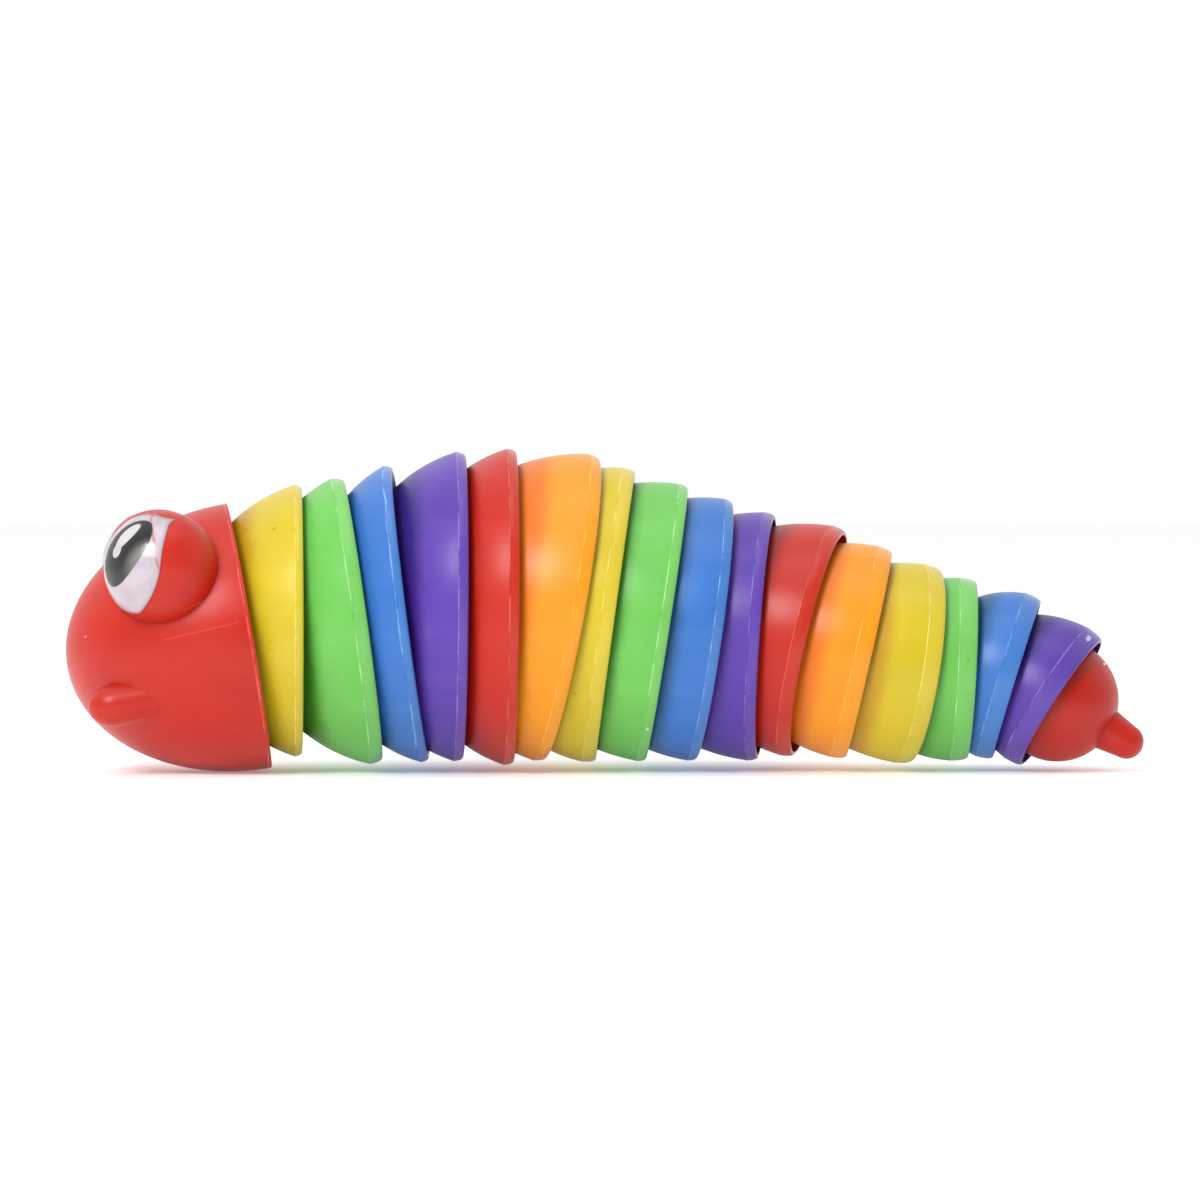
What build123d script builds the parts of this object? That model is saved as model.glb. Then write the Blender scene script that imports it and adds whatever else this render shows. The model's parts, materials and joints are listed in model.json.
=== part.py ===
"""Articulated fidget slug: a head, sixteen nested ring shells and a tail bulb on a chain of cross links.

Frame: +Z up, head towards -X, tail towards +X, origin on the table under the middle of the toy.
Every shell has its own frame: origin on the pivot at its front, X along its axis towards the tail.
"""
import os
from math import acos, cos, radians, sin, sqrt, tan

from build123d import *

# Head: half an ellipsoid, open at the rim that faces the first ring, with its first pivot above its axis
HEAD_RIM_CENTRE = (-59.6, -0.95, 22.6625)
HEAD_BEND = -9.5
HEAD_SWING = 6.3
HEAD_RADIUS = 22.4
HEAD_LENGTH = 30.6
HEAD_PIVOT_RISE = 1.15

# Ring shells from head to tail: colour, largest radius, distance from the rim in front, pivot ahead
# of its own rim, gap to the rim in front, lip length, bend (tail end down), swing (tail end to +Y)
RINGS = (
    ("yellow", 22.7, 9.2, 1.0, 2.7, 1.3, 9.5, -2.0),
    ("green", 24.1, 10.2, 1.0, 2.2, 2.2, -7.8, 0.5),
    ("blue", 25.0, 8.1, 0.5, 2.2, 1.4, 0.5, -4.0),
    ("purple", 25.9, 9.0, 0.5, 1.75, 1.6, 7.8, 2.5),
    ("red", 26.5, 8.5, 0.5, 1.8, 1.6, 0.0, -0.5),
    ("orange", 26.1, 9.5, 1.5, 1.4, 2.0, 9.8, 2.5),
    ("yellow", 24.9, 7.6, 2.0, 1.1, 2.2, -2.5, -6.0),
    ("green", 23.55, 8.7, 2.0, 1.2, 1.6, 1.0, 1.0),
    ("blue", 22.2, 8.0, 2.5, 1.1, 1.6, -0.8, 2.0),
    ("purple", 20.9, 8.9, 2.5, 1.4, 1.8, -4.2, -7.5),
    ("red", 19.75, 9.0, 3.0, 1.3, 2.2, 8.8, -4.5),
    ("orange", 18.1, 8.6, 3.5, 1.4, 2.7, 0.0, 7.5),
    ("yellow", 16.8, 9.5, 4.0, 1.15, 2.8, -3.8, 7.5),
    ("green", 15.35, 8.0, 4.5, 1.1, 3.0, -6.0, -6.5),
    ("blue", 14.3, 7.8, 5.0, 1.5, 2.8, 14.0, -5.5),
    ("purple", 12.95, 8.5, 5.5, 1.6, 3.0, 15.5, -5.8),
)

# Tail bulb: a ball round its pivot, open in front, with a small tapered nub behind
TAIL_SPACING = 5.8
TAIL_BEND = -2.0
TAIL_SWING = 0.0
BULB_RADIUS = 10.3
BULB_CENTRE = -1.2
BULB_FRONT = 3.5
BULB_MOUTH_WALL = 1.5
NUB_ROOT = 6.0
NUB_ROOT_RADIUS = 4.0
NUB_CENTRE = 12.3
NUB_RADIUS = 2.9

# Travel of each connection either side of straight, as (bend, swing): the flared front rings
# meet the rim ahead sooner, and the last rings bend further
FRONT_LIMITS = (10.0, 4.5)
MIDDLE_LIMITS = (11.0, 8.0)
LAST_LIMITS = (17.0, 6.0)
FIRST_MIDDLE_RING = 6
FIRST_LAST_RING = 15

# Moulded walls: a bulging dome, a rounded lip, a nose hidden in the shell ahead and a bell inside
WALL_BASE = 0.9
WALL_PER_RADIUS = 0.008
DOME_BULGE = 0.12
DOME_BULGE_PER_RISE = 0.06
LIP_DROP = 0.75
HIDDEN_MARGIN = 0.5
NOSE_WALL = 1.0
NOSE_HOLE_STEP = 0.6
KNEE_SHARE = 0.5
BELL_ANGLE = 43.0
BELL_WALL = 0.8
BELL_KNEE = 0.35

# Cup round each pivot, fork behind it and the cross link that joins them
CUP_INNER = 2.8
CUP_OUTER = 3.6
CUP_FRONT = -0.5
CUP_BACK = 2.0
CUP_BASE = 0.8
EAR_INNER = 1.05
EAR_OUTER = 1.9
EAR_RADIUS = 1.1
LINK_HALF = 0.9
PIN_RADIUS = 0.5
HOLE_RADIUS = 0.55
BEND_PIN_REACH = 1.85
SWING_PIN_REACH = 3.5
POST_SINK = 1.0

# Face: eye bulges, their stickers and the two short feelers, mirrored left to right
EYE_CENTRE = (-12.6, -16.4, 14.0)
EYE_RADIUS = 9.3
EYE_TURN = 48.0
STICKER_THICKNESS = 0.25
STICKER_HALF_WIDTH = 7.0
STICKER_HALF_HEIGHT = 8.2
FEELER_ROOT = (-11.7, -13.6, -7.0)
FEELER_LENGTH = 12.0
FEELER_RADIUS = 3.5
FEELER_TIP = 4.6


def wall(radius):
    """Wall thickness of a shell with this rim radius."""
    return WALL_BASE + WALL_PER_RADIUS * radius


def limits(number):
    """Bend and swing limits of the connection in front of this ring."""
    if number < FIRST_MIDDLE_RING:
        return FRONT_LIMITS
    if number < FIRST_LAST_RING:
        return MIDDLE_LIMITS
    return LAST_LIMITS


def full_tilt(number):
    """Largest angle between a ring's axis and the axis in front, in radians."""
    bend, swing = (radians(limit) for limit in limits(number))
    return acos(cos(bend) * cos(swing))


def side_plane(frame):
    """Plane through a shell's axis: its x is the axis, its y is the shell's up."""
    return Plane(frame.origin, x_dir=frame.x_dir, z_dir=-frame.y_dir)


def axis_of(frame):
    """The shell's own axis of symmetry."""
    return Axis(frame.origin, frame.x_dir)


def next_frames(frame, distance, bend, swing):
    """Frames of the cross link and of the shell that follow at this distance along the axis."""
    link = Plane(frame.location * Pos(distance, 0, 0) * Rot(0, bend, 0))
    shell = Plane(link.location * Rot(0, 0, swing))
    return link, shell


def add_fork(frame, root, reach):
    """Two ears from a shell's cup back to the next pivot, bored for the bend pins."""
    for side in (-1, 1):
        inner = frame.origin - side_plane(frame).z_dir * side * EAR_INNER
        with BuildSketch(Plane(inner, x_dir=frame.x_dir, z_dir=-frame.y_dir)) as ear:
            with BuildLine():
                Line((root, -EAR_RADIUS), (reach, -EAR_RADIUS))
                ThreePointArc((reach, -EAR_RADIUS), (reach + EAR_RADIUS, 0), (reach, EAR_RADIUS))
                Line((reach, EAR_RADIUS), (root, EAR_RADIUS))
                Line((root, EAR_RADIUS), (root, -EAR_RADIUS))
            make_face()
            with Locations((reach, 0)):
                Circle(HOLE_RADIUS, mode=Mode.SUBTRACT)
        extrude(ear.sketch, amount=-side * (EAR_OUTER - EAR_INNER))


def bore_cup(frame):
    """Holes through the cup wall, above and below, for the swing pins."""
    with BuildSketch(frame) as bore:
        Circle(HOLE_RADIUS)
    extrude(bore.sketch, amount=2 * CUP_OUTER, both=True, mode=Mode.SUBTRACT)


def cup_and_bell(depth, hole, knee, knee_radius):
    """Inner surface of a bell from its front hole to the closed cup round the pivot."""
    Polyline(
        (-depth, hole),
        (-knee, knee_radius),
        (CUP_FRONT, CUP_INNER),
        (CUP_BACK, CUP_INNER),
        (CUP_BACK, 0),
    )


def dome_arc(rim, mouth):
    """Centre and radius of the arc that bulges out between a dome's rim and the mouth it enters."""
    chord = Vector(*rim) - Vector(*mouth)
    bulge = DOME_BULGE + DOME_BULGE_PER_RISE * chord.Y
    arc_radius = (chord.length**2 / 4 + bulge**2) / (2 * bulge)
    outward = Vector(-chord.Y, chord.X).normalized()
    middle = (Vector(*rim) + Vector(*mouth)) / 2
    return middle - outward * (arc_radius - bulge), arc_radius


def ring_outline(radius, pivot, lip, entry, reach, depth):
    """Half section of a ring shell: dome, lip at the rim, hidden nose, bell and cup."""
    thick = wall(radius)
    rim = (pivot - lip, radius)
    centre, arc_radius = dome_arc(rim, (-reach, entry))
    nose = centre.Y + sqrt(arc_radius**2 - (depth + centre.X) ** 2)
    hole = nose - thick - NOSE_HOLE_STEP
    slope = tan(radians(BELL_ANGLE))
    knee = KNEE_SHARE * depth
    knee_radius = CUP_INNER + (knee + CUP_FRONT) * slope
    if knee_radius > hole - HIDDEN_MARGIN:
        knee_radius = hole - HIDDEN_MARGIN
        knee = (knee_radius - CUP_INNER) / slope - CUP_FRONT
    back = CUP_BACK + CUP_BASE
    ThreePointArc(rim, (-reach, entry), (-depth, nose))
    Line((-depth, nose), (-depth, hole))
    cup_and_bell(depth, hole, knee, knee_radius)
    Polyline(
        (CUP_BACK, 0),
        (back, 0),
        (back, CUP_OUTER),
        (CUP_FRONT, CUP_OUTER),
        (BELL_KNEE - knee, knee_radius + BELL_WALL),
        (NOSE_WALL - depth, hole + HIDDEN_MARGIN),
        (NOSE_WALL - depth, nose - thick),
    )
    ThreePointArc((NOSE_WALL - depth, nose - thick), (-reach, entry - thick), (pivot, radius - thick))
    Line((pivot, radius - thick), (pivot, radius - LIP_DROP))
    EllipticalCenterArc((pivot - lip, radius - LIP_DROP), lip, LIP_DROP, start_angle=0, arc_size=90)


def write(piece, name):
    """Label a finished piece and write it as its own STEP file."""
    piece.part.label = name
    export_step(piece.part, f"parts/{name}.step")


def make_cross_link(frame, name):
    """Cross link: a small block with a pin each way."""
    with BuildPart(frame) as cross_link:
        Box(2 * LINK_HALF, 2 * LINK_HALF, 2 * LINK_HALF)
        with BuildSketch(side_plane(frame)):
            Circle(PIN_RADIUS)
        extrude(amount=BEND_PIN_REACH, both=True)
        with BuildSketch(frame):
            Circle(PIN_RADIUS)
        extrude(amount=SWING_PIN_REACH, both=True)
    write(cross_link, name)


def make_ring(frame, number, front, next_distance):
    """One ring shell. front is the largest radius of the shell ahead of it."""
    colour, radius, spacing, pivot, gap, lip = RINGS[number - 1][:6]
    reach = spacing - pivot
    entry = front - wall(front) - gap
    depth = reach + entry * sin(full_tilt(number)) + HIDDEN_MARGIN
    with BuildPart(frame) as ring:
        with BuildSketch(side_plane(frame)):
            with BuildLine():
                ring_outline(radius, pivot, lip, entry, reach, depth)
            make_face()
        revolve(axis=axis_of(frame))
        add_fork(frame, CUP_BACK + CUP_BASE / 2, next_distance)
        bore_cup(frame)
    write(ring, f"segment_{number:02d}_{colour}")


def half_ellipse(frame, length, radius):
    """Half section of a half ellipsoid that points forwards and is cut off at its rim."""
    with BuildSketch(side_plane(frame)) as section:
        with BuildLine():
            EllipticalCenterArc((0, 0), length, radius, start_angle=90, arc_size=90)
            Polyline((-length, 0), (0, 0), (0, radius))
        make_face()
    return section.sketch


def add_feeler(root):
    """One straight feeler with a rounded tip."""
    with BuildSketch(side_plane(root)) as section:
        with BuildLine():
            Line((-FEELER_LENGTH, FEELER_RADIUS), (0, FEELER_RADIUS))
            Polyline((0, FEELER_RADIUS), (0, 0), (-FEELER_LENGTH - FEELER_TIP, 0))
            EllipticalCenterArc((-FEELER_LENGTH, 0), FEELER_TIP, FEELER_RADIUS, start_angle=90, arc_size=90)
        make_face()
    revolve(section.sketch, axis=axis_of(root))


def make_head(frame, post, next_distance):
    """Head shell with eye bulges, feelers and the post that carries the first fork."""
    thick = wall(HEAD_RADIUS)
    post_root = POST_SINK - HEAD_LENGTH
    post_end = next_distance - CUP_OUTER - CUP_BACK
    with BuildPart(frame) as head:
        revolve(half_ellipse(frame, HEAD_LENGTH, HEAD_RADIUS), axis=axis_of(frame))
        for side in (1, -1):
            x, y, z = EYE_CENTRE
            with Locations((x, side * y, z)):
                Sphere(EYE_RADIUS)
            x, y, z = FEELER_ROOT
            add_feeler(Plane(frame.location * Pos(x, side * y, z)))
        inside = half_ellipse(frame, HEAD_LENGTH - thick, HEAD_RADIUS - thick)
        revolve(inside, axis=axis_of(frame), mode=Mode.SUBTRACT)
        with BuildSketch(side_plane(post)):
            with BuildLine():
                Polyline((post_root, 0), (post_root, CUP_OUTER), (post_end, CUP_OUTER), (post_end, 0))
                Line((post_end, 0), (post_root, 0))
            make_face()
        revolve(axis=axis_of(post))
        add_fork(post, post_end - POST_SINK, next_distance)
    write(head, "head_shell")


def make_sticker(frame, side, name):
    """Thin oval sticker wrapped on an eye bulge, facing forwards and outwards."""
    x, y, z = EYE_CENTRE
    eye = Plane(frame.location * Pos(x, side * y, z) * Rot(90 * side, 0, 0) * Rot(0, -EYE_TURN, 0))
    with BuildPart(eye) as sticker:
        Sphere(EYE_RADIUS + STICKER_THICKNESS)
        with BuildSketch(eye):
            Ellipse(STICKER_HALF_WIDTH, STICKER_HALF_HEIGHT)
        extrude(amount=2 * EYE_RADIUS, mode=Mode.INTERSECT)
        Sphere(EYE_RADIUS, mode=Mode.SUBTRACT)
    write(sticker, name)


def make_tail(frame):
    """Tail bulb: a solid ball with a nub, hollowed in front for the last fork."""
    mouth = (BULB_RADIUS**2 - (BULB_FRONT + BULB_CENTRE) ** 2) ** 0.5
    back = BULB_CENTRE + BULB_RADIUS
    with BuildPart(frame) as tail:
        with BuildSketch(side_plane(frame)):
            with BuildLine():
                ThreePointArc((-BULB_FRONT, mouth), (BULB_CENTRE, BULB_RADIUS), (back, 0))
                Polyline(
                    (back, 0),
                    (CUP_BACK, 0),
                    (CUP_BACK, CUP_INNER),
                    (CUP_FRONT, CUP_INNER),
                    (-BULB_FRONT, mouth - BULB_MOUTH_WALL),
                    (-BULB_FRONT, mouth),
                )
            make_face()
            with BuildLine():
                Polyline((NUB_ROOT, 0), (NUB_ROOT, NUB_ROOT_RADIUS), (NUB_CENTRE, NUB_RADIUS))
                CenterArc((NUB_CENTRE, 0), NUB_RADIUS, 0, 90)
                Line((NUB_CENTRE + NUB_RADIUS, 0), (NUB_ROOT, 0))
            make_face()
        revolve(axis=axis_of(frame))
        bore_cup(frame)
    write(tail, "tail_shell")


os.makedirs("parts", exist_ok=True)

head_frame = Plane(Pos(*HEAD_RIM_CENTRE) * Rot(0, 0, HEAD_SWING) * Rot(0, HEAD_BEND, 0))
post_frame = Plane(head_frame.location * Pos(0, 0, HEAD_PIVOT_RISE))
distances = [RINGS[0][2] - RINGS[0][3]]
for (_, _, _, pivot_ahead, *_), (_, _, spacing, next_pivot, *_) in zip(RINGS, RINGS[1:]):
    distances.append(pivot_ahead + spacing - next_pivot)
distances.append(TAIL_SPACING)

make_head(head_frame, post_frame, distances[0])
make_sticker(head_frame, 1, "eye_sticker_near")
make_sticker(head_frame, -1, "eye_sticker_far")

shell_frame = post_frame
front_radius = HEAD_RADIUS
for number, ring_row in enumerate(RINGS, start=1):
    link_frame, shell_frame = next_frames(shell_frame, distances[number - 1], *ring_row[-2:])
    make_cross_link(link_frame, f"cross_link_{number:02d}")
    make_ring(shell_frame, number, front_radius, distances[number])
    front_radius = ring_row[1]

link_frame, tail_frame = next_frames(shell_frame, TAIL_SPACING, TAIL_BEND, TAIL_SWING)
make_cross_link(link_frame, f"cross_link_{len(RINGS) + 1:02d}")
make_tail(tail_frame)
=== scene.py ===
"""Looks of the articulated fidget slug: satin shells, parting lines, eye stickers and a studio."""

import json
import math

import bmesh
import bpy
from mathutils import Matrix, Vector, noise


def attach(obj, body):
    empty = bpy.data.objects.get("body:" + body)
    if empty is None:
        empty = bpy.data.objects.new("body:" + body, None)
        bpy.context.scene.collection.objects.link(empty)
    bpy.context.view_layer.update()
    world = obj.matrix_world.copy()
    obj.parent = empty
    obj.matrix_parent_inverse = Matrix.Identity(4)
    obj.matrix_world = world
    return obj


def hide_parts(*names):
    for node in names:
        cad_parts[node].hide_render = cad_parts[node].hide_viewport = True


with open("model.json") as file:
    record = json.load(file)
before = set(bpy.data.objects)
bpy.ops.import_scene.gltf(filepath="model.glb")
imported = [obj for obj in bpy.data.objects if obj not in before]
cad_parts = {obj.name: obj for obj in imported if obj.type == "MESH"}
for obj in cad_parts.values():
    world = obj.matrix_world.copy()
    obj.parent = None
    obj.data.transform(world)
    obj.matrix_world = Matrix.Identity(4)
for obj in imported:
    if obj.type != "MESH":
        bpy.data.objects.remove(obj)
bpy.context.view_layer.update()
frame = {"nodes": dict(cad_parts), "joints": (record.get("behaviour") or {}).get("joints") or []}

MM = 0.001

# Lip length of each ring shell, in mm, from the head to the tail
LIPS = (1.3, 2.2, 1.4, 1.6, 1.6, 2.0, 2.2, 1.6, 1.6, 1.8, 2.2, 2.7, 2.8, 3.0, 2.8, 3.0)

# Flash ridges: half width and drift, on most rings and on the one with a ragged parting line
NEAT_FLASH = (0.14 * MM, 0.03 * MM)
JAGGED_FLASH = (0.20 * MM, 0.20 * MM)
JAGGED_RING = 3
FLASH_HEIGHT = 0.06 * MM
FLASH_SEGMENTS = 300
FLASH_SECTION = ((-1.0, -1.0), (-0.55, 0.6), (0.0, 1.0), (0.55, 0.6), (1.0, -1.0))

# Worn edge of the head's rim: how far in from the rim, half width, height and drift
HEAD_EDGE_IN = 0.5 * MM
HEAD_FLASH = (0.22 * MM, 0.05 * MM, 0.05 * MM)

# Head rim and its turn from the row's axes, then the eye bulges in the head's own frame;
# an eye faces outwards, turned EYE_TURN degrees towards the front
HEAD_RIM_CENTRE = Vector((-59.6, -0.95, 22.66)) * MM
HEAD_RADIUS = 22.4 * MM
HEAD_SWING = 6.3
HEAD_BEND = -9.5
EYE_CENTRE = Vector((-12.6, -16.4, 14.0)) * MM
EYE_RADIUS = 9.3 * MM
EYE_TURN = 48.0

# Linear colours of each plastic: body, painted recess shade, pale (also the lip's painted sheen)
PLASTICS = {
    "red": ((0.450, 0.010, 0.001), (0.190, 0.001, 0.002), (0.640, 0.090, 0.050)),
    "yellow": ((0.560, 0.430, 0.010), (0.460, 0.240, 0.002), (0.760, 0.640, 0.140)),
    "green": ((0.125, 0.450, 0.072), (0.036, 0.200, 0.006), (0.340, 0.700, 0.260)),
    "blue": ((0.030, 0.145, 0.470), (0.005, 0.075, 0.190), (0.160, 0.340, 0.660)),
    "purple": ((0.080, 0.030, 0.310), (0.020, 0.004, 0.140), (0.240, 0.150, 0.520)),
    "orange": ((0.740, 0.260, 0.001), (0.660, 0.130, 0.001), (0.880, 0.440, 0.050)),
}

# Outline of an eye sticker in units of the eye radius: forward, up; its first corner is sharp
STICKER_OUTLINE = (
    (-0.53, 0.84), (-0.53, 0.84), (-0.69, 0.61), (-0.77, 0.32), (-0.79, 0.0), (-0.73, -0.24),
    (-0.61, -0.45), (-0.43, -0.63), (-0.12, -0.82), (0.45, -0.68), (0.76, -0.28), (0.80, 0.16),
    (0.62, 0.62), (0.22, 0.89), (-0.18, 0.94), (-0.53, 0.84),
)
SAME_POINT = 1e-5
STICKER_CREASE = ((-0.24, 0.92), (-0.52, 0.66), (-0.68, 0.42), (-0.79, 0.0))

# Sticker patch: its front stands this far off the eye and its hidden back lies this far inside
STICKER_LIFT = 0.16 * MM
STICKER_SINK = 0.1 * MM
STICKER_RINGS = 22
SKIRT_FLARE = 1.006
CREASE_RISE = 0.14 * MM
CREASE_SPREAD = 0.022
CREASE_LINE = 0.20 * MM

# Linear colours of the print, the links and the floor
VINYL = ((0.41, 0.345, 0.39), (0.475, 0.415, 0.46))
CREASE_RED = (0.50, 0.13, 0.12)
IRIS_DARK = (0.012, 0.012, 0.012)
# Warm grey of the painted reflection inside the iris
IRIS_REFLECTION_GREY = (0.19, 0.18, 0.17)
NATURAL = ((0.80, 0.79, 0.74), (0.90, 0.89, 0.86))
PAPER = ((0.93, 0.93, 0.93), (0.97, 0.97, 0.97))
WHITE = (1.0, 1.0, 1.0, 1.0)

# Print on the sticker, and the painted reflection in its iris: a place on the eye as
# (forward, outward, up), the lean of its long axis back from upright in degrees, and its
# half length and half width in units of the eye radius
IRIS = ((0.645, 0.70, 0.325), 42.0, 0.66, 0.435)
# A painted reflection, not print: the warm grey patch inside the dark oval
IRIS_REFLECTION = ((0.34, 0.92, 0.18), 35.0, 0.50, 0.27)
GLINTS = (
    ((0.548, 0.62, 0.57), 42.0, 0.30, 0.135, (0.50, 0.47, 0.49)),
    ((0.719, 0.63, 0.31), 12.0, 0.135, 0.11, (0.46, 0.43, 0.45)),
)

# Painted recess shade under the shell ahead; lip behind the parting line: smoother, painted sheen
RECESS_START = 2.4 * MM
RECESS_END = -0.6 * MM
RECESS_SHADE = 0.85
RECESS_WAVER = 0.3 * MM
LIP_START = 0.02 * MM
LIP_END = 0.3 * MM
LIP_SHEEN = 0.16
LIP_SHINE = 0.20

# Room light: the share that comes from the camera's side, and where along Y it starts and ends
DIM_FRONT = 0.36
ROOM_FADE = (-0.55, 0.05)

# Camera: level with the toy, looking a little down
CAMERA_LENS = 143.6
CAMERA_SENSOR = 36.0
CAMERA_X = -0.00085
CAMERA_Y = -0.801
CAMERA_AIM_HEIGHT = 0.02864
CAMERA_REACH = 0.8
CAMERA_TILT = 1.5


class Graph:
    """A material's nodes, with short calls that give back output sockets."""

    def __init__(self, name):
        self.material = bpy.data.materials.new(name)
        self.material.use_nodes = True
        self.nodes = self.material.node_tree.nodes
        self.links = self.material.node_tree.links
        self.shader = self.nodes["Principled BSDF"]
        self.point = self.nodes.new("ShaderNodeTexCoord").outputs["Object"]

    def put(self, value, socket):
        if isinstance(value, bpy.types.NodeSocket):
            self.links.new(value, socket)
        else:
            socket.default_value = value

    def calc(self, operation, *values):
        node = self.nodes.new("ShaderNodeMath")
        node.operation = operation
        for value, socket in zip(values, node.inputs):
            self.put(value, socket)
        return node.outputs[0]

    def vector(self, operation, *values):
        node = self.nodes.new("ShaderNodeVectorMath")
        node.operation = operation
        for value, socket in zip(values, node.inputs):
            self.put(value, socket)
        return node.outputs["Value" if operation in ("DOT_PRODUCT", "LENGTH") else "Vector"]

    def noise(self, scale, detail, point=None):
        node = self.nodes.new("ShaderNodeTexNoise")
        self.put(point or self.point, node.inputs["Vector"])
        node.inputs["Scale"].default_value = scale
        node.inputs["Detail"].default_value = detail
        return node.outputs["Fac"]

    def ramp(self, value, low, high, bottom=0.0, top=1.0):
        node = self.nodes.new("ShaderNodeMapRange")
        node.interpolation_type = "SMOOTHSTEP"
        for given, socket in zip((value, low, high, bottom, top), node.inputs):
            self.put(given, socket)
        return node.outputs["Result"]

    def mix(self, factor, first, second):
        node = self.nodes.new("ShaderNodeMix")
        node.data_type = "RGBA"
        self.put(factor, node.inputs[0])
        for value, socket in ((first, node.inputs[6]), (second, node.inputs[7])):
            self.put((*value, 1.0) if isinstance(value, tuple) else value, socket)
        return node.outputs[2]

    def bump(self, height, strength, distance):
        node = self.nodes.new("ShaderNodeBump")
        node.inputs["Strength"].default_value = strength
        node.inputs["Distance"].default_value = distance
        self.put(height, node.inputs["Height"])
        self.put(node.outputs["Normal"], self.shader.inputs["Normal"])


def scaled(colour, factor):
    """The same colour, lighter or darker."""
    return tuple(min(1.0, channel * factor) for channel in colour)


def line_mask(graph, flat, origin, end, half_width):
    """Mask of a thin line from origin to end, for a point already flattened into their plane."""
    span = end - origin
    offset = graph.vector("SUBTRACT", flat, origin)
    share = graph.calc("DIVIDE", graph.vector("DOT_PRODUCT", offset, span), span.length_squared)
    share = graph.calc("MINIMUM", graph.calc("MAXIMUM", share, 0.0), 1.0)
    scale = graph.nodes.new("ShaderNodeVectorMath")
    scale.operation = "SCALE"
    scale.inputs[0].default_value = span
    graph.put(share, scale.inputs["Scale"])
    away = graph.vector("LENGTH", graph.vector("SUBTRACT", offset, scale.outputs["Vector"]))
    return graph.ramp(away, half_width, half_width * 0.4)


def near_side_line(graph, start, end, half_width):
    """Mask of a thin line on the near side, between two points given as (x, z) in metres."""
    flat = graph.vector("MULTIPLY", graph.point, (1.0, 0.0, 1.0))
    origin, tip = (Vector((x, 0, z)) for x, z in (start, end))
    line = line_mask(graph, flat, origin, tip, half_width)
    near = graph.calc("LESS_THAN", graph.vector("DOT_PRODUCT", graph.point, (0.0, 1.0, 0.0)), 0.0)
    return graph.calc("MULTIPLY", line, near)


def satin_plastic(name, colour, along=None, part=0.0, entry=0.0, marks=(), lines=()):
    """Moulded satin plastic. along is a call that gives the distance along the shell's axis."""
    body, shade_colour, pale = PLASTICS[colour]
    graph = Graph(name)
    mottle = graph.ramp(graph.noise(70.0, 3.0), 0.3, 0.7)
    tint = graph.mix(mottle, scaled(body, 0.95), scaled(body, 1.05))
    flow = graph.noise(9.0, 2.0, graph.vector("MULTIPLY", graph.point, (6.0, 6.0, 26.0)))
    tint = graph.mix(graph.ramp(flow, 0.45, 0.85, 0.0, 0.10), tint, pale)
    grain = graph.noise(4200.0, 2.0)
    coarse = graph.noise(1300.0, 1.0)
    roughness = graph.ramp(grain, 0.25, 0.75, 0.38, 0.56)
    if along:
        distance = along(graph)
        waver = graph.ramp(graph.noise(160.0, 2.0), 0.2, 0.8, -RECESS_WAVER, RECESS_WAVER)
        uneven = graph.calc("ADD", distance, waver)
        # Painted shade: towards the rim of the shell ahead the colour darkens to the shade colour
        painted_shade = graph.ramp(uneven, entry + RECESS_START, entry + RECESS_END)
        tint = graph.mix(graph.calc("MULTIPLY", painted_shade, RECESS_SHADE), tint, shade_colour)
        # Lip behind the parting line: really smoother, and tinted pale as a painted sheen
        lip = graph.ramp(distance, part + LIP_START, part + LIP_END)
        tint = graph.mix(graph.calc("MULTIPLY", lip, LIP_SHEEN), tint, pale)
        smooth = graph.calc("MULTIPLY", lip, LIP_SHINE)
        roughness = graph.calc("SUBTRACT", roughness, smooth)
    speck = graph.ramp(graph.noise(700.0, 0.0), 0.875, 0.90)
    tint = graph.mix(graph.calc("MULTIPLY", speck, 0.55), tint, scaled(body, 0.35))
    for x, z, radius, strength, mark in marks:
        blot = near_side_line(graph, (x, z), (x + radius / 2, z + radius / 3), radius)
        tint = graph.mix(graph.calc("MULTIPLY", blot, strength), tint, mark)
    for start, end, half_width in lines:
        seam = near_side_line(graph, start, end, half_width)
        tint = graph.mix(graph.calc("MULTIPLY", seam, 0.35), tint, pale)
    scratch = graph.noise(260.0, 2.0, graph.vector("MULTIPLY", graph.point, (1.0, 1.0, 14.0)))
    height = graph.calc("ADD", grain, graph.calc("MULTIPLY", coarse, 0.6))
    height = graph.calc("ADD", height, graph.ramp(scratch, 0.66, 0.72, 0.0, 0.5))
    graph.bump(height, 0.35, 0.03 * MM)
    graph.put(tint, graph.shader.inputs["Base Color"])
    graph.put(roughness, graph.shader.inputs["Roughness"])
    graph.shader.inputs["Specular IOR Level"].default_value = 0.16
    graph.shader.inputs["Coat Weight"].default_value = 0.45
    graph.shader.inputs["Coat Roughness"].default_value = 0.34
    graph.shader.inputs["Subsurface Weight"].default_value = 0.12
    graph.shader.inputs["Subsurface Radius"].default_value = (1.0, 0.6, 0.35)
    graph.shader.inputs["Subsurface Scale"].default_value = 0.9 * MM
    return graph.material


def link_plastic():
    """Natural white plastic of the hidden cross links, with faint flow marks."""
    graph = Graph("link_plastic")
    flow = graph.noise(500.0, 3.0, graph.vector("MULTIPLY", graph.point, (1.0, 1.0, 4.0)))
    graph.put(graph.mix(flow, *NATURAL), graph.shader.inputs["Base Color"])
    graph.put(graph.ramp(flow, 0.3, 0.7, 0.35, 0.5), graph.shader.inputs["Roughness"])
    graph.bump(graph.noise(3500.0, 2.0), 0.3, 0.02 * MM)
    return graph.material


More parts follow.
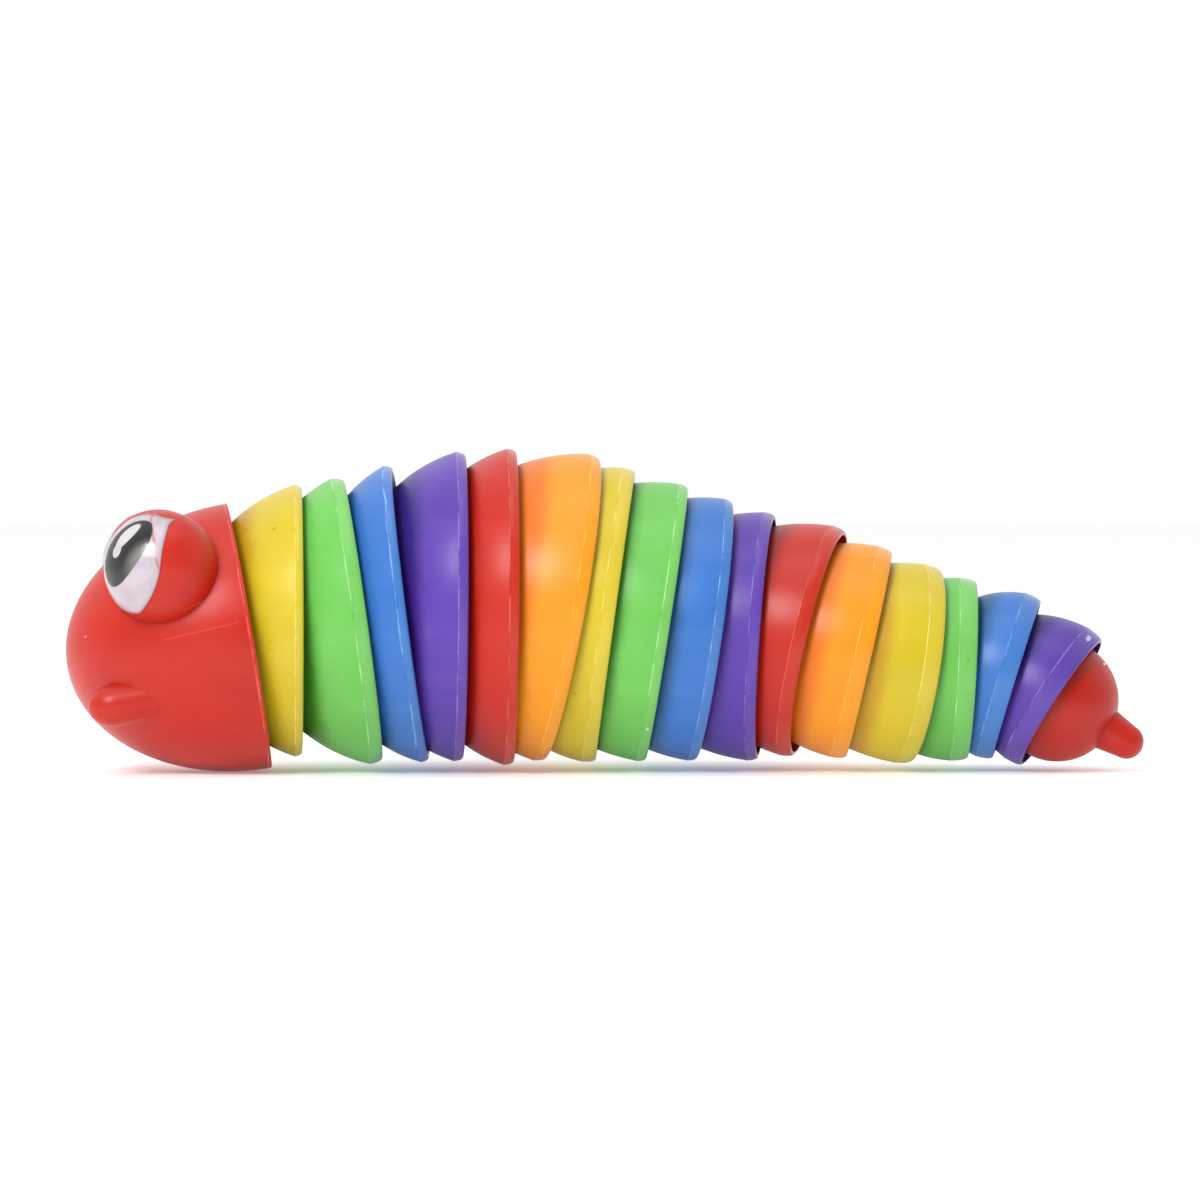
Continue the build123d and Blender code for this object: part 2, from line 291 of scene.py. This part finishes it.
def flash_plastic(colour):
    """The paler, slightly rough plastic of a parting line ridge."""
    body, _, pale = PLASTICS[colour]
    graph = Graph(f"flash_{colour}")
    wear = graph.ramp(graph.noise(240.0, 3.0), 0.35, 0.65)
    graph.put(graph.mix(wear, scaled(body, 1.05), pale), graph.shader.inputs["Base Color"])
    roughness = graph.ramp(graph.noise(1500.0, 2.0), 0.3, 0.7, 0.25, 0.42)
    graph.put(roughness, graph.shader.inputs["Roughness"])
    graph.bump(graph.noise(2500.0, 2.0), 0.4, 0.03 * MM)
    return graph.material


def dress(node, material):
    """Give a CAD node one material."""
    slots = frame["nodes"][node].data.materials
    slots.clear()
    slots.append(material)


def new_piece(name, build, material, body):
    """A mesh piece that rides on a body and takes its finish from a slot."""
    shape = bmesh.new()
    build(shape)
    bmesh.ops.recalc_face_normals(shape, faces=shape.faces)
    mesh = bpy.data.meshes.new(name)
    shape.to_mesh(mesh)
    shape.free()
    mesh.shade_smooth()
    mesh.materials.append(material)
    piece = bpy.data.objects.new(name, mesh)
    bpy.context.scene.collection.objects.link(piece)
    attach(piece, body)
    return piece


def skin(shape, rows, closed_rows=True):
    """Quads between neighbouring rows of vertices; each row closes on itself."""
    pairs = list(zip(rows, rows[1:])) + ([(rows[-1], rows[0])] if closed_rows else [])
    for first, second in pairs:
        count = len(first)
        for i in range(count):
            j = (i + 1) % count
            shape.faces.new((first[i], first[j], second[j], second[i]))


def flash_ring(centre, axis, radius, half_width, height, unevenness, seed):
    """Builder of a thin uneven ridge round a shell: an endless band with a low rounded section."""
    side = axis.cross(Vector((0, 1, 0))).normalized()
    other = axis.cross(side)

    def build(shape):
        rows = []
        for along, up in FLASH_SECTION:
            row = []
            for i in range(FLASH_SEGMENTS):
                angle = math.tau * i / FLASH_SEGMENTS
                spin = Vector((math.cos(angle), math.sin(angle), seed))
                wave = noise.noise(spin * 4.0)
                ripple = noise.noise(spin * 24.0)
                width = half_width * (1.0 + 0.4 * ripple)
                drift = unevenness * (wave + 0.5 * ripple)
                rise = height * (up + 0.5 * wave * (up > 0))
                out = side * math.cos(angle) + other * math.sin(angle)
                place = centre + axis * (drift + along * width) + out * (radius + rise)
                row.append(shape.verts.new(place))
            rows.append(row)
        skin(shape, rows)

    return build


def round_outline(points, rounds):
    """Closed outline with its corners cut, except where a point is repeated."""
    curve = [Vector(point) for point in points]
    for _ in range(rounds):
        pairs = zip(curve, curve[1:] + curve[:1])
        curve = [a.lerp(b, share) for a, b in pairs for share in (0.25, 0.75)]
    before = curve[-1:] + curve[:-1]
    return [point for point, last in zip(curve, before) if (point - last).length > SAME_POINT]


def crease_distance(point):
    """Distance of a point of the sticker from its crease, in units of the eye radius."""
    nearest = 9.0
    for start, end in zip(STICKER_CREASE, STICKER_CREASE[1:]):
        origin = Vector(start)
        span = Vector(end) - origin
        share = max(0.0, min(1.0, (point - origin).dot(span) / span.length_squared))
        nearest = min(nearest, (point - origin - span * share).length)
    return nearest


def sticker(centre, ahead, up, facing):
    """Builder of a curved vinyl patch round an eye's centre, with a raised crease."""
    outline = round_outline(STICKER_OUTLINE, 3)
    under = EYE_RADIUS - STICKER_SINK

    def spot(shape, x, y, depth, radius):
        direction = (ahead * x + up * y + facing * depth).normalized()
        return shape.verts.new(centre + direction * radius)

    def build(shape):
        rows = []
        for share in (i / STICKER_RINGS for i in range(1, STICKER_RINGS + 1)):
            row = []
            for edge in outline:
                flat = edge * share
                fold = math.exp(-((crease_distance(flat) / CREASE_SPREAD) ** 2))
                reach = EYE_RADIUS + STICKER_LIFT + CREASE_RISE * fold
                depth = math.sqrt(max(0.0, 1.0 - flat.length_squared))
                row.append(spot(shape, flat.x, flat.y, depth, reach))
            rows.append(row)
        skirt = []
        for edge in outline:
            depth = math.sqrt(max(0.0, 1.0 - edge.length_squared))
            skirt.append(spot(shape, edge.x * SKIRT_FLARE, edge.y * SKIRT_FLARE, depth, under))
        rows.append(skirt)
        skin(shape, rows, closed_rows=False)
        front = spot(shape, 0.0, 0.0, 1.0, EYE_RADIUS + STICKER_LIFT)
        for i, vertex in enumerate(rows[0]):
            shape.faces.new((front, vertex, rows[0][(i + 1) % len(rows[0])]))
        back = spot(shape, 0.0, 0.0, 1.0, under)
        halfway = [v.co - centre for v in rows[STICKER_RINGS // 2]]
        inner = [shape.verts.new(centre + offset.normalized() * under) for offset in halfway]
        skin(shape, [skirt, inner], closed_rows=False)
        for i, vertex in enumerate(inner):
            shape.faces.new((back, inner[(i + 1) % len(inner)], vertex))

    return build


def oval(graph, place, centre, long_axis, half_long, half_short):
    """Distance from an oval's centre, 1 on its edge. The oval lies on the eye's surface."""
    squares = []
    short_axis = centre.cross(long_axis).normalized()
    for axis, half in ((long_axis, half_long), (short_axis, half_short)):
        middle = centre.dot(axis) * EYE_RADIUS
        offset = graph.calc("SUBTRACT", graph.vector("DOT_PRODUCT", place, axis), middle)
        share = graph.calc("DIVIDE", offset, half * EYE_RADIUS)
        squares.append(graph.calc("MULTIPLY", share, share))
    return graph.calc("SQRT", graph.calc("ADD", *squares))


def lean(centre, forward, up, degrees):
    """Unit tangent of the eye at centre that leans this far back from up."""
    angle = math.radians(degrees)
    wanted = up * math.cos(angle) - forward * math.sin(angle)
    return (wanted - centre * wanted.dot(centre)).normalized()


def sticker_vinyl(name, centre, axes, local):
    """Printed vinyl: lilac white, a dark oval with a painted reflection, two pale glints, a red
    crease line.
    """
    graph = Graph(name)
    offset = graph.vector("SUBTRACT", graph.point, centre)
    joined = graph.nodes.new("ShaderNodeCombineXYZ")
    for axis, socket in zip(axes, joined.inputs):
        graph.put(graph.vector("DOT_PRODUCT", offset, axis), socket)
    place = joined.outputs["Vector"]
    forward, outward, up = local
    cloud = graph.ramp(graph.noise(260.0, 3.0), 0.3, 0.7)
    tint = graph.mix(cloud, *VINYL)

    def printed(where, tilt, half_long, half_short):
        f, o, u = where
        middle = (forward * f + outward * o + up * u).normalized()
        return oval(graph, place, middle, lean(middle, forward, up, tilt), half_long, half_short)

    flat = graph.vector("MULTIPLY", place, (1.0, 1.0, 0.0))
    # A red line along the crease, its strength varied by noise
    crease_strength = graph.ramp(graph.noise(700.0, 2.0), 0.25, 0.6, 0.6, 1.0)
    for start, end in zip(STICKER_CREASE, STICKER_CREASE[1:]):
        ends = (Vector((*corner, 0.0)) * EYE_RADIUS for corner in (start, end))
        crease = graph.calc("MULTIPLY", line_mask(graph, flat, *ends, CREASE_LINE), crease_strength)
        tint = graph.mix(graph.calc("MULTIPLY", crease, 0.85), tint, CREASE_RED)
    edge = printed(*IRIS)
    # Painted reflection: the dark oval turns warm grey towards a patch inside it
    reflection_spot = printed(*IRIS_REFLECTION)
    dark = graph.mix(graph.ramp(reflection_spot, 1.0, 0.0), IRIS_DARK, IRIS_REFLECTION_GREY)
    tint = graph.mix(graph.ramp(edge, 1.025, 0.985), tint, dark)
    for *glint, pale in GLINTS:
        tint = graph.mix(graph.ramp(printed(*glint), 1.08, 0.92), tint, pale)
    graph.put(tint, graph.shader.inputs["Base Color"])
    roughness = graph.ramp(graph.noise(900.0, 2.0), 0.3, 0.7, 0.16, 0.26)
    graph.put(roughness, graph.shader.inputs["Roughness"])
    graph.bump(graph.noise(420.0, 3.0), 0.25, 0.03 * MM)
    return graph.material


# Shell frames: pivots from the joints, axes from one pivot to the next, towards the tail
pivots = {j["name"]: Vector(j["pos_m"]) for j in frame["joints"]}
bends = [pivots[f"bend_{k:02d}"] for k in range(1, len(LIPS) + 2)]
head_swing = Matrix.Rotation(math.radians(HEAD_SWING), 3, "Z")
head_turn = head_swing @ Matrix.Rotation(math.radians(HEAD_BEND), 3, "Y")
head_axis = head_turn @ Vector((1, 0, 0))


def ring_distance(pivot, axis):
    """Call that gives the distance along this axis from this pivot, in metres."""
    def along(graph):
        place = graph.vector("DOT_PRODUCT", graph.point, axis)
        return graph.calc("SUBTRACT", place, pivot.dot(axis))
    return along


def rim_of(node, pivot, axis):
    """Distance of a shell's rim from its pivot along its axis, and the shell's largest radius."""
    reach, widest = [], 0.0
    for vertex in frame["nodes"][node].data.vertices:
        offset = vertex.co - pivot
        step = offset.dot(axis)
        radius = (offset - axis * step).length
        reach.append((radius, step))
        widest = max(widest, radius)
    return max(step for radius, step in reach if radius > 0.9 * widest), widest


HEAD_LINES = (
    ((-71.8 * MM, 22.7 * MM), (-59.5 * MM, 25.6 * MM), 0.16 * MM),
    ((-68.8 * MM, 27.4 * MM), (-63.2 * MM, 30.1 * MM), 0.14 * MM),
)
HEAD_MARKS = ((-85.6 * MM, 22.9 * MM, 0.22 * MM, 0.6, (0.80, 0.35, 0.28)),)
RING_MARKS = {
    8: ((6.9 * MM, 7.6 * MM, 0.25 * MM, 0.8, (0.62, 0.90, 0.50)),),
    13: (
        (54.6 * MM, 12.3 * MM, 0.42 * MM, 0.45, (0.22, 0.16, 0.02)),
        (52.6 * MM, 3.8 * MM, 0.22 * MM, 0.6, (0.20, 0.14, 0.02)),
        (53.3 * MM, 4.8 * MM, 0.16 * MM, 0.5, (0.20, 0.14, 0.02)),
    ),
    16: ((80.2 * MM, 22.3 * MM, 0.5 * MM, 0.6, (0.75, 0.70, 0.85)),),
}
TAIL_MARKS = ((83.2 * MM, 18.0 * MM, 0.25 * MM, 0.85, (0.95, 0.85, 0.80)),)
FLASH = {colour: flash_plastic(colour) for colour in PLASTICS}

dress("head_shell", satin_plastic("head_plastic", "red", marks=HEAD_MARKS, lines=HEAD_LINES))
dress("tail_shell", satin_plastic("tail_plastic", "red", marks=TAIL_MARKS))
natural = link_plastic()
for number in range(1, len(LIPS) + 2):
    dress(f"cross_link_{number:02d}", natural)

worn_edge = HEAD_RIM_CENTRE - head_axis * HEAD_EDGE_IN
head_flash = flash_ring(worn_edge, head_axis, HEAD_RADIUS, *HEAD_FLASH, 0.0)
new_piece("flash_head", head_flash, FLASH["red"], "head")

segments = sorted(name for name in frame["nodes"] if name.startswith("segment_"))
ahead = (HEAD_RIM_CENTRE - bends[0]).dot(head_axis)
for number, node in enumerate(segments, start=1):
    colour = node.rsplit("_", 1)[1]
    pivot = bends[number - 1]
    axis = (bends[number] - pivot).normalized()
    rim, widest = rim_of(node, pivot, axis)
    part = rim - LIPS[number - 1] * MM
    along = ring_distance(pivot, axis)
    marks = RING_MARKS.get(number, ())
    dress(node, satin_plastic(f"{node}_plastic", colour, along, part, ahead, marks))
    half_width, unevenness = JAGGED_FLASH if number == JAGGED_RING else NEAT_FLASH
    start = pivot + axis * part
    seed = float(number)
    ridge = flash_ring(start, axis, widest, half_width, FLASH_HEIGHT, unevenness, seed)
    ring = f"ring_{number:02d}"
    new_piece(f"flash_{number:02d}", ridge, FLASH[colour], ring)
    ahead = rim - (bends[number] - pivot).length

# The far sticker is the near one mirrored in the head's own middle plane
turn = math.radians(EYE_TURN)
for side, node in ((1.0, "eye_sticker_near"), (-1.0, "eye_sticker_far")):
    flip = Matrix.Diagonal((1.0, side, 1.0))
    into_head = head_turn @ flip @ head_turn.transposed()
    forward, outward, up = (into_head @ Vector(v) for v in ((-1, 0, 0), (0, -1, 0), (0, 0, 1)))
    facing = outward * math.cos(turn) + forward * math.sin(turn)
    ahead_axis = forward * math.cos(turn) - outward * math.sin(turn)
    centre = HEAD_RIM_CENTRE + head_turn @ (flip @ EYE_CENTRE)
    axes = (ahead_axis, up, facing)
    local = [Vector([way.dot(axis) for axis in axes]) for way in (forward, outward, up)]
    vinyl = sticker_vinyl(f"{node}_vinyl", centre, axes, local)
    patch = new_piece(f"printed_{node}", sticker(centre, *axes), vinyl, "head")
    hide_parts(node)

# Studio: white room, pale floor, soft key light from the upper left, weaker light from the top
scene = bpy.context.scene
scene.view_settings.view_transform = "Standard"
world = bpy.data.worlds.new("studio")
scene.world = world
world.use_nodes = True
sky = world.node_tree
from_where = sky.nodes.new("ShaderNodeTexCoord").outputs["Generated"]
parts = sky.nodes.new("ShaderNodeSeparateXYZ")
sky.links.new(from_where, parts.inputs["Vector"])
fade = sky.nodes.new("ShaderNodeMapRange")
fade.interpolation_type = "SMOOTHSTEP"
for value, socket in zip((*ROOM_FADE, DIM_FRONT, 1.0), list(fade.inputs)[1:]):
    socket.default_value = value
sky.links.new(parts.outputs["Y"], fade.inputs["Value"])
sky.links.new(fade.outputs["Result"], sky.nodes["Background"].inputs["Strength"])
sky.nodes["Background"].inputs["Color"].default_value = WHITE

floor_shape = bmesh.new()
bmesh.ops.create_grid(floor_shape, x_segments=1, y_segments=1, size=4.0)
floor_mesh = bpy.data.meshes.new("floor")
floor_shape.to_mesh(floor_mesh)
floor_shape.free()
paper = Graph("floor_paper")
fibre = paper.noise(350.0, 3.0)
paper.put(paper.mix(fibre, *PAPER), paper.shader.inputs["Base Color"])
paper.shader.inputs["Roughness"].default_value = 0.85
paper.shader.inputs["Emission Color"].default_value = WHITE
paper.shader.inputs["Emission Strength"].default_value = 0.22
floor_mesh.materials.append(paper.material)
floor = bpy.data.objects.new("floor", floor_mesh)
scene.collection.objects.link(floor)


def area_light(name, place, size, energy):
    """A square soft light aimed at the middle of the toy."""
    light = bpy.data.lights.new(name, "AREA")
    light.size = size
    light.energy = energy
    lamp = bpy.data.objects.new(name, light)
    lamp.location = place
    aim = Vector((0, 0, 0.02)) - lamp.location
    lamp.rotation_euler = aim.to_track_quat("-Z", "Y").to_euler()
    scene.collection.objects.link(lamp)


area_light("key", (-0.30, -0.50, 0.42), 0.26, 3.5)
area_light("top", (0.0, -0.15, 0.75), 0.5, 1.3)

camera = bpy.data.objects.new("camera", bpy.data.cameras.new("camera"))
camera.data.lens = CAMERA_LENS
camera.data.sensor_width = CAMERA_SENSOR
camera_height = CAMERA_AIM_HEIGHT + CAMERA_REACH * math.tan(math.radians(CAMERA_TILT))
camera.location = (CAMERA_X, CAMERA_Y, camera_height)
camera.rotation_euler = (math.radians(90.0 - CAMERA_TILT), 0.0, 0.0)
scene.collection.objects.link(camera)
scene.camera = camera
